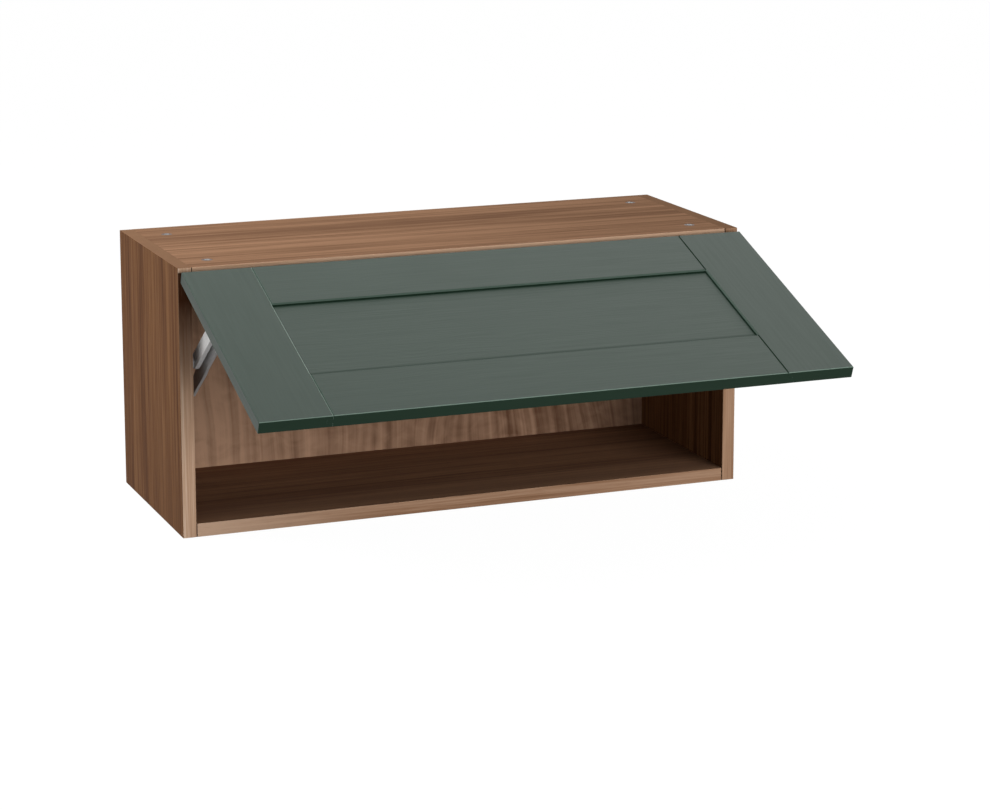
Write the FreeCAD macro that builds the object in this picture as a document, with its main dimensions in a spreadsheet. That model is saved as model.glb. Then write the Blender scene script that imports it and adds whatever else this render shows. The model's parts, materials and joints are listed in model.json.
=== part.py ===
import FreeCAD, Part
import math
import os
from types import SimpleNamespace

import Sketcher

# Wall cabinet with a top-hinged lift-up flap.
# Frame: x runs across the cabinet from its centre, y = 0 is the wall and the front faces -y,
# z = 0 is the underside.  Lengths are millimetres and angles are degrees.

SIZES = {
    # carcass
    "cab_width": 800,
    "cab_height": 360,
    "cab_depth": 300,
    "board": 18,
    "band": 1,
    "band_short": 1.2,
    "back_thick": 8,
    "back_inset": 19,
    "groove_deep": 8,
    "fit_gap": 0.1,
    "rod_flats": 8,
    # knock-down fittings
    "cam_radius": 7.5,
    "cam_deep": 12.5,
    "cam_slot": 1.6,
    "cam_slot_long": 7.5,
    "cam_reach": 34,
    "cam_front": 45,
    "cam_spacing": 200,
    "bolt_radius": 3.5,
    "bolt_thread": 2.5,
    "bolt_bite": 11,
    "dowel_radius": 4,
    "dowel_bite": 11,
    "dowel_reach": 18,
    # flap
    "door_gap": 1.5,
    "side_reveal": 2,
    "top_reveal": 3,
    "bottom_reveal": 3,
    "door_thick": 16,
    "frame_wide": 93.5,
    "tongue_long": 8,
    "tongue_thick": 5,
    "panel_recess": 3.6,
    "panel_rear": 1.6,
    "panel_bevel": 1.8,
    "joint_bevel": 1.2,
    "arris": 0.8,
    "open_angle": 70,
    "pivot_back": 12.8,
    "pivot_drop": 4.3,
    # concealed hinges
    "hinge_inset": 150,
    "cup_radius": 17.5,
    "cup_deep": 11.5,
    "cup_wall": 1,
    "cup_centre": 20.5,
    "cup_flange": 1,
    "flange_wide": 56,
    "flange_high": 21,
    "link_pin_radius": 1.5,
    "nose_back": 9.2,
    "nose_drop": 25.4,
    "fold_long": 19.1,
    "fold_turn": 38.5,
    "fold_wide": 9,
    "fold_thick": 2.4,
    "hinge_arm_wide": 14,
    "hinge_arm_thick": 7,
    "hinge_arm_long": 62,
    "hinge_arm_step": 10.5,
    "hinge_arm_heel": 21,
    "nose_bevel": 2,
    "hinge_line": 37,
    "hinge_plate_thick": 3,
    "hinge_plate_wide": 52,
    "hinge_plate_long": 16,
    # lift mechanism
    "base_back": 44,
    "base_fore": 26,
    "base_up": 40,
    "base_down": 30,
    "base_corner": 8,
    "base_nose": 10,
    "base_toe": 5.2,
    "hub_radius": 13,
    "arm_near": 9,
    "cheek_near": 20,
    "lug_near": 16,
    "lift_reach": 130,
    "lift_angle": 35,
    "crank_long": 80,
    "crank_lead": 17.5,
    "base_thick": 2,
    "lever_thick": 4,
    "arm_wide": 20,
    "arm_thick": 6,
    "cheek_thick": 4,
    "cheek_low": 17.7,
    "cheek_high": 8,
    "cheek_step": 1.6,
    "cheek_tip": 8,
    "cheek_shoulder": 78,
    "cheek_belly": 94.9,
    "tail_rise": 4,
    "tail_long": 80,
    "drum_radius": 31,
    "drum_long": 7,
    "boss_back": 34,
    "boss_up": 26,
    "boss_radius": 12,
    "axle_radius": 5,
    "pin_radius": 3,
    "bracket_lug": 3,
    "bracket_thick": 2,
    "bracket_wide": 44,
    "bracket_long": 66,
    "lug_radius": 7.8,
    "play": 0.4,
    "head_thick": 1.5,
    # wall hangers
    "hanger_wide": 60,
    "hanger_high": 80,
    "hanger_thick": 8.5,
    "hook_wide": 34,
    "hook_thick": 2.5,
    "hook_high": 46,
    "hook_lip": 7,
    "hook_rise": 1.6,
    "hook_back": 0.8,
    "nose_thick": 2,
    "nose_inset": 4.3,
    "guide_thick": 1.5,
    "guide_lap": 3.5,
    "cap_radius": 6,
    "cap_top": 5,
    "cap_thick": 1.2,
    "cap_bore": 4,
    "cap_drop": 34,
    "hanger_drop": 14,
    # soft stops
    "bumper_wide": 9,
    "bumper_thick": 1.2,
    "bumper_inset": 9,
    "bumper_rise": 13.5,
}


class Size:
    """A size as a number together with its formula on the sheet."""

    def __init__(self, number, formula=None):
        self.number = float(number)
        self.formula = formula or f"({self.number:.6f})"

    def __add__(self, other):
        other = as_size(other)
        return Size(self.number + other.number, f"({self.formula} + {other.formula})")

    def __sub__(self, other):
        other = as_size(other)
        return Size(self.number - other.number, f"({self.formula} - {other.formula})")

    def __mul__(self, other):
        other = as_size(other)
        return Size(self.number * other.number, f"({self.formula} * {other.formula})")

    def __truediv__(self, other):
        other = as_size(other)
        return Size(self.number / other.number, f"({self.formula} / {other.formula})")

    def __neg__(self):
        return self * -1

    __radd__ = __add__
    __rmul__ = __mul__

    def __rsub__(self, other):
        return as_size(other) - self


def as_size(value):
    return value if isinstance(value, Size) else Size(value)


def cosine(angle):
    return Size(math.cos(math.radians(angle.number)), f"cos({angle.formula})")


def sine(angle):
    return Size(math.sin(math.radians(angle.number)), f"sin({angle.formula})")


def turned(point, angle):
    """A (y, z) point turned about the x axis by an angle."""
    y, z = as_size(point[0]), as_size(point[1])
    return y * cosine(angle) - z * sine(angle), y * sine(angle) + z * cosine(angle)


def shifted(point, step):
    return point[0] + step[0], point[1] + step[1]


doc = FreeCAD.newDocument("wall_cabinet")
sheet = doc.addObject("Spreadsheet::Sheet", "Sizes")
for row, (name, value) in enumerate(SIZES.items(), start=1):
    sheet.set(f"A{row}", name)
    sheet.set(f"B{row}", str(value))
    sheet.setAlias(f"B{row}", name)
doc.recompute()
size = SimpleNamespace(**{name: Size(sheet.get(name), f"Sizes.{name}") for name in SIZES})

X_AXIS = FreeCAD.Vector(1, 0, 0)
UPRIGHT = FreeCAD.Rotation()
ALONG_X = FreeCAD.Rotation(FreeCAD.Vector(0, 1, 0), 90)
ALONG_Y = FreeCAD.Rotation(FreeCAD.Vector(1, 0, 0), -90)
NODES = {}

# Lines that many pieces share
HALF = size.cab_width / 2
INNER = HALF - size.board
FRONT = -size.cab_depth
BOARD_FRONT = FRONT + size.band
BACK_FACE = -(size.back_inset + size.back_thick)
TOP_UNDER = size.cab_height - size.board
DOOR_HALF = HALF - size.side_reveal
DOOR_HIGH = size.cab_height - size.top_reveal - size.bottom_reveal
PIVOT = (
    FRONT - size.door_gap - size.pivot_back,
    size.cab_height - size.top_reveal - size.pivot_drop,
)
OPENING = -size.open_angle
HINGE_LINE = FRONT + size.hinge_line
NOSE = (PIVOT[0] + size.nose_back, PIVOT[1] - size.nose_drop)
CAP_X = INNER - size.hanger_wide / 2
CAP_Z = TOP_UNDER - size.cap_drop

# Door lines, measured from the pivot with the flap closed
DOOR_REAR = size.pivot_back
DOOR_FRONT = size.pivot_back - size.door_thick
DOOR_TOP = size.pivot_drop
DOOR_BOTTOM = size.pivot_drop - DOOR_HIGH
DOOR_MIDDLE = (DOOR_REAR + DOOR_FRONT) / 2
CUP_LINE = size.pivot_drop - size.cup_centre

# Lift mechanism: lever and door bracket stay parallel, and the arm keeps its slope at every opening
CRANK_CLOSED = (size.crank_long * sine(size.crank_lead), -size.crank_long * cosine(size.crank_lead))
CRANK_OPEN = turned(CRANK_CLOSED, OPENING)
ARM_SPAN = (-size.lift_reach * cosine(size.lift_angle), size.lift_reach * sine(size.lift_angle))
AXLE = (PIVOT[0] - ARM_SPAN[0], PIVOT[1] - ARM_SPAN[1])
ELBOW = shifted(AXLE, CRANK_OPEN)


def bind(item, path, value):
    value = as_size(value)
    item.setExpression(path, value.formula)


def place(item, x, y, z, rotation=UPRIGHT, angle=None):
    """Put an item at a point; with an angle it also turns about its own x axis."""
    if angle is not None:
        rotation = FreeCAD.Rotation(X_AXIS, angle.number)
    item.Placement = FreeCAD.Placement(FreeCAD.Vector(), rotation)
    for axis, value in zip("xyz", (x, y, z)):
        bind(item, f"Placement.Base.{axis}", value)
    if angle is not None:
        bind(item, "Placement.Rotation.Angle", angle)
    return item


def node(label, item):
    """Name an item as one finished sub-part."""
    item.Label = label
    NODES[label] = item
    return item


def box(x, y, z):
    """A block; each of x, y and z is a (low, high) pair."""
    item = doc.addObject("Part::Box", "block")
    for path, (low, high) in zip(("Length", "Width", "Height"), (x, y, z)):
        bind(item, path, high - as_size(low))
    return place(item, x[0], y[0], z[0])


def rod(x, y, z, radius, length, rotation=UPRIGHT):
    """A cylinder from a point along the axis that its rotation gives."""
    item = doc.addObject("Part::Cylinder", "rod")
    bind(item, "Radius", radius)
    bind(item, "Height", length)
    return place(item, x, y, z, rotation)


def light_rod(x, y, z, radius, length, rotation=ALONG_X):
    """A hidden rod, or the bore that it sits in, drawn with a few flats."""
    item = doc.addObject("Part::Prism", "light_rod")
    bind(item, "Polygon", size.rod_flats)
    bind(item, "Circumradius", radius)
    bind(item, "Height", length)
    return place(item, x, y, z, rotation)


def tapered(x, y, z, start, end, length, rotation=UPRIGHT):
    item = doc.addObject("Part::Cone", "taper")
    bind(item, "Radius1", start)
    bind(item, "Radius2", end)
    bind(item, "Height", length)
    return place(item, x, y, z, rotation)


def joined(items):
    if len(items) == 1:
        return items[0]
    item = doc.addObject("Part::MultiFuse", "joined")
    item.Shapes = items
    return item


def group(items):
    """Like pieces kept as separate solids of one sub-part."""
    item = doc.addObject("Part::Compound", "group")
    item.Links = items
    return item


def cut(base, tools):
    item = doc.addObject("Part::Cut", "cut")
    item.Base = base
    item.Tool = joined(tools)
    return item


def in_turn(item, x, pivot, angle):
    """Carry a finished shape to a pivot and turn it about the x axis there."""
    carrier = group([item])
    return place(carrier, x, pivot[0], pivot[1], angle=angle)


class Profile:
    """A PartDesign body that grows from sketches on its own origin planes."""

    def __init__(self):
        self.body = doc.addObject("PartDesign::Body", "Body")

    def sketch(self, role, offset):
        plane = next(item for item in self.body.Origin.OriginFeatures if item.Role == role)
        sketch = self.body.newObject("Sketcher::SketchObject", "Outline")
        sketch.AttachmentSupport = [(plane, "")]
        sketch.MapMode = "FlatFace"
        bind(sketch, "AttachmentOffset.Base.z", offset)
        return sketch

    def pad(self, sketch, length):
        feature = self.body.newObject("PartDesign::Pad", "Pad")
        feature.Profile = sketch
        bind(feature, "Length", length)
        self.body.Tip = feature
        sketch.Visibility = False

    def pocket(self, sketch, length):
        feature = self.body.newObject("PartDesign::Pocket", "Pocket")
        feature.Profile = sketch
        feature.Reversed = True
        bind(feature, "Length", length)
        self.body.Tip = feature
        sketch.Visibility = False


def vector(point):
    return FreeCAD.Vector(as_size(point[0]).number, as_size(point[1]).number, 0)


def hold(sketch, geometry, end, point):
    """Tie one end (or the centre) of a sketch element to a point by its sheet formulas."""
    for kind, value in (("DistanceX", as_size(point[0])), ("DistanceY", as_size(point[1]))):
        index = sketch.addConstraint(Sketcher.Constraint(kind, -1, 1, geometry, end, value.number))
        bind(sketch, f"Constraints[{index}]", value)


def outline(sketch, points):
    """A closed outline of straight lines through (horizontal, vertical) points."""
    count = len(points)
    lines = []
    for i in range(count):
        line = Part.LineSegment(vector(points[i]), vector(points[(i + 1) % count]))
        lines.append(sketch.addGeometry(line))
        hold(sketch, lines[i], 1, points[i])
    for i in range(count):
        sketch.addConstraint(Sketcher.Constraint("Coincident", lines[i], 2, lines[(i + 1) % count], 1))


def fix_radius(sketch, geometry, radius):
    index = sketch.addConstraint(Sketcher.Constraint("Radius", geometry, radius.number))
    bind(sketch, f"Constraints[{index}]", radius)


def circle(sketch, centre, radius):
    radius = as_size(radius)
    ring = sketch.addGeometry(Part.Circle(vector(centre), FreeCAD.Vector(0, 0, 1), radius.number))
    hold(sketch, ring, 3, centre)
    fix_radius(sketch, ring, radius)


def strap(sketch, start, end, start_radius, end_radius):
    """Two round eyes joined by the straight lines that touch both."""
    reach = vector(end) - vector(start)
    heading = math.atan2(reach.y, reach.x)
    radii = (as_size(start_radius), as_size(end_radius))
    spread = math.acos((radii[0].number - radii[1].number) / reach.Length)
    centres = (vector(start), vector(end))

    def rim(eye, angle):
        direction = FreeCAD.Vector(math.cos(angle), math.sin(angle), 0)
        return centres[eye] + direction * radii[eye].number

    circles = [Part.Circle(centres[eye], FreeCAD.Vector(0, 0, 1), radii[eye].number) for eye in (0, 1)]
    near = sketch.addGeometry(Part.ArcOfCircle(circles[0], heading + spread, heading - spread + 2 * math.pi))
    far = sketch.addGeometry(Part.ArcOfCircle(circles[1], heading - spread, heading + spread))
    out = sketch.addGeometry(Part.LineSegment(rim(0, heading - spread), rim(1, heading - spread)))
    back = sketch.addGeometry(Part.LineSegment(rim(1, heading + spread), rim(0, heading + spread)))
    for arc, point, radius in ((near, start, radii[0]), (far, end, radii[1])):
        hold(sketch, arc, 3, point)
        fix_radius(sketch, arc, radius)
    for first, second in ((near, out), (out, far), (far, back), (back, near)):
        sketch.addConstraint(Sketcher.Constraint("Tangent", first, 2, second, 1))


def edges_where(shape, test):
    """Names of the edges whose middle passes a test."""
    names = []
    for number, edge in enumerate(shape.Edges, start=1):
        middle = edge.valueAt((edge.FirstParameter + edge.LastParameter) / 2)
        if test(middle):
            names.append(f"Edge{number}")
    return names


def near_to(value, target):
    return abs(value - as_size(target).number) < 0.01


def dress(profile, kind, sized, test, amount):
    """Add a Fillet or Chamfer to the edges of a profile that pass a test."""
    doc.recompute()
    base = profile.body.Tip
    names = edges_where(base.Shape, test)
    if not names:
        raise RuntimeError(f"no edges found for the {kind} of {profile.body.Label}")
    feature = profile.body.newObject(f"PartDesign::{kind}", kind)
    feature.Base = (base, names)
    bind(feature, sized, amount)
    profile.body.Tip = feature


def round_corners(profile, corners, radius):
    """Fillet the edges along x that stand on (y, z) corners."""
    spots = [vector(corner) for corner in corners]
    dress(
        profile, "Fillet", "Radius",
        lambda middle: any(near_to(middle.y, spot.x) and near_to(middle.z, spot.y) for spot in spots),
        radius,
    )


def break_edges(profile, test, amount=size.arris):
    dress(profile, "Chamfer", "Size", test, amount)


def plate(x_range, draw):
    """A plate that lies across x, its outline drawn in y and z."""
    profile = Profile()
    low, high = x_range
    sketch = profile.sketch("YZ_Plane", low)
    draw(sketch)
    profile.pad(sketch, high - low)
    return profile


def across(side, near, thick):
    """The x range of a layer that starts a distance in from a side board's inner face."""
    near, thick = as_size(near), as_size(thick)
    if side < 0:
        return -INNER + near, -INNER + near + thick
    return INNER - near - thick, INNER - near


SIDES = {"left": -1, "right": 1}


def drill_points():
    """The (y, z) places on a side board's inner face where bolts and dowels enter."""
    heights = (size.board / 2, size.cab_height - size.board / 2)
    front = FRONT + size.cam_front
    bolts = [(front + size.cam_spacing * step, z) for step in (0, 1) for z in heights]
    dowels = [(front + size.cam_spacing / 2, z) for z in heights]
    return bolts, dowels


def hanger_range(side):
    return across(side, 0, size.hanger_wide)


def make_sides():
    bolts, dowels = drill_points()
    for name, side in SIDES.items():
        low, high = across(side, -size.board, size.board)
        board = box((low, high), (BOARD_FRONT, 0), (0, size.cab_height))
        tools = []
        for points, radius, bite in (
            (bolts, size.bolt_thread, size.bolt_bite),
            (dowels, size.dowel_radius, size.dowel_bite),
        ):
            deep = bite + size.fit_gap
            start = across(side, -deep, deep)[0]
            tools += [light_rod(start, y, z, radius + size.fit_gap, deep) for y, z in points]
        groove = across(side, -size.groove_deep, size.groove_deep)
        lift = size.board - size.groove_deep
        tools.append(box(groove, back_groove(), (lift, size.cab_height - lift)))
        node(f"side_{name}", cut(board, tools))


def back_groove():
    return BACK_FACE - size.fit_gap, -size.back_inset + size.fit_gap


def make_panels():
    """Top and bottom panels with their cam pockets, bolt and dowel bores and back groove."""
    bolts, dowels = drill_points()
    for name, low, cam_face, turn in (
        ("top_panel", TOP_UNDER, size.cab_height, -1),
        ("bottom_panel", Size(0), Size(0), 1),
    ):
        middle = low + size.board / 2
        board = box((-INNER, INNER), (BOARD_FRONT, 0), (low, low + size.board))
        tools = []
        pocket_low = cam_face if turn > 0 else cam_face - size.cam_deep
        for side in SIDES.values():
            for y in sorted({y for y, z in bolts}, key=lambda value: value.number):
                cam_x = side * (INNER - size.cam_reach)
                tools.append(rod(cam_x, y, pocket_low, size.cam_radius, size.cam_deep))
                start = across(side, 0, size.cam_reach)[0]
                bore = size.bolt_radius + size.fit_gap
                tools.append(light_rod(start, y, middle, bore, size.cam_reach))
            deep = size.dowel_reach + size.fit_gap
            start = across(side, 0, deep)[0]
            bore = size.dowel_radius + size.fit_gap
            tools.append(light_rod(start, dowels[0][0], middle, bore, deep))
        inner_face = TOP_UNDER if turn < 0 else size.board
        groove_low = inner_face if turn < 0 else inner_face - size.groove_deep
        tools.append(box((-INNER, INNER), back_groove(), (groove_low, groove_low + size.groove_deep)))
        node(name, cut(board, tools))


def make_back():
    reach = size.groove_deep - size.fit_gap
    board = box(
        (-INNER - reach, INNER + reach),
        (BACK_FACE, -size.back_inset),
        (size.board - reach, TOP_UNDER + reach),
    )
    holes = [
        light_rod(side * CAP_X, BACK_FACE, CAP_Z, size.cap_bore, size.back_thick, ALONG_Y)
        for side in SIDES.values()
    ]
    node("back_panel", cut(board, holes))


def make_caps():
    """Press-in caps over the holes that reach the hangers' adjusting screws."""
    caps = []
    for side in SIDES.values():
        low = BACK_FACE - size.cap_thick
        caps.append(tapered(side * CAP_X, low, CAP_Z, size.cap_top, size.cap_radius, size.cap_thick, ALONG_Y))
    node("hanger_caps", group(caps))


def make_bands():
    """Edge banding glued on the front edges of the four boards.

    The level bands stop a little short of the sides, which leaves the narrow dark joint at each end.
    """
    edge = (FRONT, BOARD_FRONT)
    level = (size.band_short - INNER, INNER - size.band_short)
    for name, side in SIDES.items():
        node(f"edge_band_{name}", box(across(side, -size.board, size.board), edge, (0, size.cab_height)))
    node("edge_band_top", box(level, edge, (TOP_UNDER, size.cab_height)))
    node("edge_band_bottom", box(level, edge, (0, size.board)))


def make_cams():
    """Cam discs in their pockets, each with a driver slot across its outer face."""
    for name, outer, turn in (("top", size.cab_height, -1), ("bottom", Size(0), 1)):
        cams = []
        tall = size.cam_deep - 2 * size.fit_gap
        face = outer + turn * size.fit_gap
        low = face if turn > 0 else face - tall
        slot_low = face if turn > 0 else face - size.cam_slot
        for side in SIDES.values():
            for step in (0, 1):
                x = side * (INNER - size.cam_reach)
                y = FRONT + size.cam_front + size.cam_spacing * step
                arm, slim = size.cam_slot_long / 2, size.cam_slot / 2
                slot = box((x - arm, x + arm), (y - slim, y + slim), (slot_low, slot_low + size.cam_slot))
                cams.append(cut(rod(x, y, low, size.cam_radius - size.fit_gap, tall), [slot]))
        node(f"cam_locks_{name}", group(cams))


def make_bolts():
    """Bolts that screw into the sides and reach through the panel ends to the cams."""
    bolts = []
    reach = size.cam_reach - size.cam_radius
    for side in SIDES.values():
        for y, z in drill_points()[0]:
            steps = (
                (-size.bolt_bite, size.bolt_bite, size.bolt_thread),
                (0, reach, size.bolt_radius),
            )
            bolts.append(joined([
                light_rod(across(side, near, long)[0], y, z, thick, long) for near, long, thick in steps
            ]))
    node("cam_bolts", group(bolts))


def make_dowels():
    dowels = []
    for side in SIDES.values():
        for y, z in drill_points()[1]:
            long = size.dowel_bite + size.dowel_reach
            start = across(side, -size.dowel_bite, long)[0]
            dowels.append(light_rod(start, y, z, size.dowel_radius, long))
    node("dowels", group(dowels))


def make_hangers():
    """Concealed hangers behind the back panel: a channel that guides a hook from above."""
    top = TOP_UNDER - size.hanger_drop
    for name, side in SIDES.items():
        low, high = hanger_range(side)
        front = -size.back_inset
        floor = front + size.hanger_thick
        hook_low = side * CAP_X - size.hook_wide / 2
        hook_high = side * CAP_X + size.hook_wide / 2
        lip = floor + size.hook_thick + 2 * size.play
        rear = lip + size.guide_thick
        body = Profile()
        sketch = body.sketch("XY_Plane", top - size.hanger_high)
        outline(sketch, [
            (low, front), (high, front), (high, rear),
            (hook_high - size.guide_lap, rear), (hook_high - size.guide_lap, lip),
            (hook_high + size.play, lip), (hook_high + size.play, floor),
            (hook_low - size.play, floor), (hook_low - size.play, lip),
            (hook_low + size.guide_lap, lip), (hook_low + size.guide_lap, rear),
            (low, rear),
        ])
        body.pad(sketch, size.hanger_high)
        node(f"hanger_body_{name}", body.body)

        plate_y = floor + size.play
        hook = Profile()
        slide = hook.sketch("YZ_Plane", hook_low)
        hook_top = top + size.hook_rise
        outline(slide, [
            (plate_y, hook_top - size.hook_high), (plate_y + size.hook_thick, hook_top - size.hook_high),
            (plate_y + size.hook_thick, hook_top), (plate_y, hook_top),
        ])
        hook.pad(slide, size.hook_wide)
        nose = hook.sketch("YZ_Plane", hook_low + size.nose_inset)
        reach = -size.hook_back
        back = plate_y + size.hook_thick / 2
        outline(nose, [
            (back, hook_top), (back, hook_top + size.hook_thick), (reach, hook_top + size.hook_thick),
            (reach, hook_top - size.hook_lip), (reach - size.nose_thick, hook_top - size.hook_lip),
            (reach - size.nose_thick, hook_top),
        ])
        hook.pad(nose, size.hook_wide - size.nose_inset * 2)
        node(f"hanger_hook_{name}", hook.body)


def hinge_spots():
    return [side * (HALF - size.hinge_inset) for side in SIDES.values()]


def make_hinge_plates():
    """Mounting plates under the top panel, on the first line of system holes."""
    plates = []
    low = TOP_UNDER - size.hinge_plate_thick
    wide, long = size.hinge_plate_wide / 2, size.hinge_plate_long / 2
    for x in hinge_spots():
        plates.append(box((x - wide, x + wide), (HINGE_LINE - long, HINGE_LINE + long), (low, TOP_UNDER)))
    node("hinge_plates", group(plates))


def make_hinge_arms():
    """Arms that carry the folding links on a pin between the two ears of their nose."""
    arms = []
    eye = size.hinge_arm_thick / 2
    front, bevel = NOSE[0] - eye, size.nose_bevel
    low, high = NOSE[1] - eye, NOSE[1] + eye
    step, heel = FRONT + size.hinge_arm_step, FRONT + size.hinge_arm_heel
    top = TOP_UNDER - size.hinge_plate_thick
    end = FRONT + size.hinge_arm_long
    gap = size.fold_wide / 2 + size.play
    half = size.hinge_arm_wide / 2
    for x in hinge_spots():

        def draw(sketch):
            outline(sketch, [
                (front + bevel, low), (front, low + bevel), (front, high - bevel), (front + bevel, high),
                (FRONT + eye, high), (step, top), (end, top),
                (end, top - size.hinge_arm_thick), (heel, top - size.hinge_arm_thick), (step, low),
            ])

        profile = plate((x - half, x + half), draw)
        slot = box((x - gap, x + gap), (front, FRONT + eye), (low, high))
        pin = light_rod(x - gap, NOSE[0], NOSE[1], size.link_pin_radius, gap * 2)
        arms.append(joined([cut(profile.body, [slot]), pin]))
    node("hinge_arms", group(arms))


def make_hinge_links():
    """Folding links: an eye on the arm's pin and a cross pin that works inside the cup."""
    links = []
    eye = size.hinge_arm_thick / 2 - size.fit_gap
    bore = size.link_pin_radius + size.fit_gap / 2
    for x in hinge_spots():
        half = size.fold_wide / 2

        def draw(sketch):
            strap(sketch, (Size(0), Size(0)), (Size(0), size.fold_long), eye, size.fold_thick)
            circle(sketch, (Size(0), Size(0)), bore)

        profile = plate((x - half, x + half), draw)
        reach = half + size.fold_thick
        pin = light_rod(x - reach, 0, size.fold_long, size.link_pin_radius, reach * 2)
        links.append(joined([profile.body, pin]))
    node("hinge_links", in_turn(group(links), 0, NOSE, size.fold_turn))


def on_door(item):
    return place(item, 0, PIVOT[0], PIVOT[1], angle=OPENING)


def make_hinge_cups():
    """Cups let into the top rail, each with a flange that lies on the wood."""
    cups = []
    wide, high = size.flange_wide / 2, size.flange_high / 2
    for x in hinge_spots():
        deep = size.cup_deep - size.fit_gap
        outer = size.cup_radius - size.fit_gap
        shell = rod(x, DOOR_REAR - deep, CUP_LINE, outer, deep, ALONG_Y)
        flange = box(
            (x - wide, x + wide), (DOOR_REAR, DOOR_REAR + size.cup_flange), (CUP_LINE - high, CUP_LINE + high)
        )
        floor = DOOR_REAR - deep + size.cup_wall
        hollow = rod(x, floor, CUP_LINE, outer - size.cup_wall, size.cup_deep, ALONG_Y)
        cups.append(cut(joined([shell, flange]), [hollow]))
    node("hinge_cups", on_door(group(cups)))


def make_lift_bases():
    """Base plates on the side boards."""
    for name, side in SIDES.items():
        def draw(sketch):
            outline(sketch, [
                (size.base_back, size.base_up), (-size.base_fore, size.base_up),
                (-size.base_fore, -size.base_nose), (-size.base_toe, -size.base_down),
                (size.base_back, -size.base_down),
            ])

        profile = plate(across(side, 0, size.base_thick), draw)
        corners = [(size.base_back, size.base_up), (-size.base_fore, size.base_up)]
        corners.append((size.base_back, -size.base_down))
        round_corners(profile, corners, size.base_corner)
        place(profile.body, 0, AXLE[0], AXLE[1])
        node(f"lift_base_{name}", profile.body)


def make_lift_axles():
    """Each axle stands on its base plate and carries the lever and the spring drum."""
    for name, side in SIDES.items():
        near = size.base_thick
        far = drum_near() + size.drum_long + size.head_thick
        low, high = across(side, near, far - near)
        node(f"lift_axle_{name}", rod(low, AXLE[0], AXLE[1], size.axle_radius, high - low, ALONG_X))


def drum_near():
    return size.base_thick + size.lever_thick + 2 * size.play


def make_lift_drums():
    """Spring housings: a drum with a flat boss that points away from the lever's sweep."""
    for name, side in SIDES.items():
        def draw(sketch):
            hub = (Size(0), Size(0))
            strap(sketch, hub, (size.boss_back, size.boss_up), size.drum_radius, size.boss_radius)
            circle(sketch, hub, size.axle_radius + size.fit_gap / 2)

        profile = plate(across(side, drum_near(), size.drum_long), draw)
        place(profile.body, 0, AXLE[0], AXLE[1])
        node(f"lift_drum_{name}", profile.body)


def make_lift_levers():
    for name, side in SIDES.items():
        def draw(sketch):
            hub = (Size(0), Size(0))
            strap(sketch, hub, CRANK_CLOSED, size.hub_radius, size.arm_wide / 2)
            circle(sketch, hub, size.axle_radius + size.fit_gap / 2)
            circle(sketch, CRANK_CLOSED, size.pin_radius + size.fit_gap / 2)

        near = size.base_thick + size.play
        profile = plate(across(side, near, size.lever_thick), draw)
        place(profile.body, 0, AXLE[0], AXLE[1], angle=OPENING)
        node(f"lift_lever_{name}", profile.body)


def at_elbow(item):
    """Carry a piece of the arm to the elbow, with its own y axis sloping down along the arm."""
    return place(item, 0, ELBOW[0], ELBOW[1], angle=-size.lift_angle)


def make_lift_arms():
    """The white arm that runs from the lever's end up to the flap."""
    for name, side in SIDES.items():
        def draw(sketch):
            eyes = ((Size(0), Size(0)), (-size.lift_reach, Size(0)))
            strap(sketch, *eyes, size.arm_wide / 2, size.arm_wide / 2)
            for eye in eyes:
                circle(sketch, eye, size.pin_radius + size.fit_gap / 2)

        profile = plate(across(side, size.arm_near, size.arm_thick), draw)
        node(f"lift_arm_{name}", at_elbow(profile.body))


def make_lift_cheeks():
    """The grey inner cheek: deeper than the arm, and drawn out behind the elbow as a tail."""
    for name, side in SIDES.items():
        tip = size.cheek_tip
        reach = size.lift_reach
        belly = -size.cheek_low - size.cheek_step

        def draw(sketch):
            outline(sketch, [
                (-reach - tip, -tip), (-reach - tip, tip), (-size.cheek_shoulder, size.cheek_high),
                (size.arm_wide / 2, size.cheek_high), (size.tail_long, -size.tail_rise),
                (size.tail_long, belly), (size.cheek_step, belly), (-size.arm_wide / 2, -size.cheek_low),
                (-size.cheek_belly, -size.cheek_low), (-reach + tip, -tip),
            ])
            for eye in ((Size(0), Size(0)), (-reach, Size(0))):
                circle(sketch, eye, size.pin_radius + size.fit_gap / 2)

        profile = plate(across(side, size.cheek_near, size.cheek_thick), draw)
        round_corners(profile, [(-reach - tip, -tip), (-reach - tip, tip)], tip - size.fit_gap)
        tail = [(size.tail_long, -size.tail_rise), (size.tail_long, belly)]
        round_corners(profile, tail, size.tail_rise)
        node(f"lift_cheek_{name}", at_elbow(profile.body))


def make_lift_pins():
    for name, side in SIDES.items():
        far = size.cheek_near + size.cheek_thick + size.head_thick
        pins = []
        for y, near in ((Size(0), size.base_thick + size.play), (-size.lift_reach, size.arm_near)):
            low, high = across(side, near, far - near)
            pins.append(rod(low, y, 0, size.pin_radius, high - low, ALONG_X))
        node(f"lift_pins_{name}", at_elbow(group(pins)))


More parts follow.
